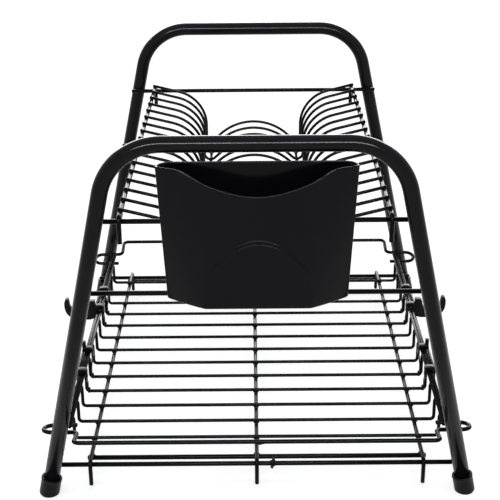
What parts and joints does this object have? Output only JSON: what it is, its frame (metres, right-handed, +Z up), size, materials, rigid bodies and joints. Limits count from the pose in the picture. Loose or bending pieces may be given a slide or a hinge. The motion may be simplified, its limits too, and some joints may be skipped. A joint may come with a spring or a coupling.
{
  "type": "dish drying rack",
  "caption": "Two-tier dish drying rack: bent-tube end frames hold a wire tray with a raised rim, a wire plate rack, a hooked cutlery caddy and clip-on cup hangers.",
  "frame": {"origin": "on the floor, midway between the two end frames and midway between their legs", "axes": "+X across the frames to the right as seen from the caddy end, +Y from the caddy end to the far end, +Z up"},
  "size_m": [0.3806, 0.4309, 0.3063],
  "materials": {
    "tube_coating": "gloss black powder coat",
    "wire_coating": "gloss black powder coat",
    "foot_plastic": "satin black moulded plastic",
    "caddy_plastic": "gloss black moulded plastic",
    "hanger_plastic": "satin black moulded plastic"
  },
  "bodies": {
    "end_frames": {"frame_tube_near": "tube_coating", "upper_bar_near": "wire_coating", "middle_bar_near": "wire_coating", "bottom_bar_near": "wire_coating", "frame_tube_far": "tube_coating", "upper_bar_far": "wire_coating", "middle_bar_far": "wire_coating", "bottom_bar_far": "wire_coating", "foot_cap_near_left": "foot_plastic", "foot_cap_near_right": "foot_plastic", "foot_cap_far_left": "foot_plastic", "foot_cap_far_right": "foot_plastic"},
    "plate_rack": {"rack_side_rail_left": "wire_coating", "rack_side_rail_right": "wire_coating", "rack_valley_wire_left": "wire_coating", "rack_valley_wire_right": "wire_coating", "plate_wire_01": "wire_coating", "plate_wire_02": "wire_coating", "plate_wire_03": "wire_coating", "plate_wire_04": "wire_coating", "plate_wire_05": "wire_coating", "plate_wire_06": "wire_coating", "plate_wire_07": "wire_coating", "plate_wire_08": "wire_coating", "plate_wire_09": "wire_coating", "plate_wire_10": "wire_coating", "plate_wire_11": "wire_coating", "plate_wire_12": "wire_coating", "plate_wire_13": "wire_coating", "plate_wire_14": "wire_coating", "plate_wire_15": "wire_coating", "plate_wire_16": "wire_coating", "plate_wire_17": "wire_coating"},
    "tray": {"tray_wire_01": "wire_coating", "tray_wire_02": "wire_coating", "tray_wire_03": "wire_coating", "tray_wire_04": "wire_coating", "tray_wire_05": "wire_coating", "tray_wire_06": "wire_coating", "tray_wire_07": "wire_coating", "tray_wire_08": "wire_coating", "tray_wire_09": "wire_coating", "tray_wire_10": "wire_coating", "tray_wire_11": "wire_coating", "tray_wire_12": "wire_coating", "tray_wire_13": "wire_coating", "tray_runner_left": "wire_coating", "tray_runner_middle": "wire_coating", "tray_runner_right": "wire_coating", "tray_rim_left": "wire_coating", "tray_rim_right": "wire_coating", "tray_under_bar_near": "wire_coating", "tray_under_bar_far": "wire_coating", "tray_end_wire_near": "wire_coating", "tray_end_wire_far": "wire_coating"},
    "caddy": {"cutlery_caddy": "caddy_plastic"},
    "cup_hanger_near_left_body": {"cup_hanger_near_left": "hanger_plastic"},
    "cup_hanger_near_right_body": {"cup_hanger_near_right": "hanger_plastic"},
    "cup_hanger_far_left_body": {"cup_hanger_far_left": "hanger_plastic"},
    "cup_hanger_far_right_body": {"cup_hanger_far_right": "hanger_plastic"}
  },
  "joints": [
    {"name": "tray_lift_off", "type": "slide", "parent": "end_frames", "child": "tray", "axis": [0, 0, 1], "range_m": [0, 0.024]},
    {"name": "plate_rack_lift_off", "type": "slide", "parent": "end_frames", "child": "plate_rack", "axis": [0, 0, 1], "range_m": [0, 0.028]},
    {"name": "caddy_unhook", "type": "slide", "parent": "end_frames", "child": "caddy", "axis": [0, 0, 1], "range_m": [0, 0.007]},
    {"name": "cup_hanger_near_left_lift_off", "type": "slide", "parent": "tray", "child": "cup_hanger_near_left_body", "axis": [0, 0, 1], "range_m": [0, 0.02]},
    {"name": "cup_hanger_near_right_lift_off", "type": "slide", "parent": "tray", "child": "cup_hanger_near_right_body", "axis": [0, 0, 1], "range_m": [0, 0.02]},
    {"name": "cup_hanger_far_left_lift_off", "type": "slide", "parent": "tray", "child": "cup_hanger_far_left_body", "axis": [0, 0, 1], "range_m": [0, 0.02]},
    {"name": "cup_hanger_far_right_lift_off", "type": "slide", "parent": "tray", "child": "cup_hanger_far_right_body", "axis": [0, 0, 1], "range_m": [0, 0.02]}
  ]
}
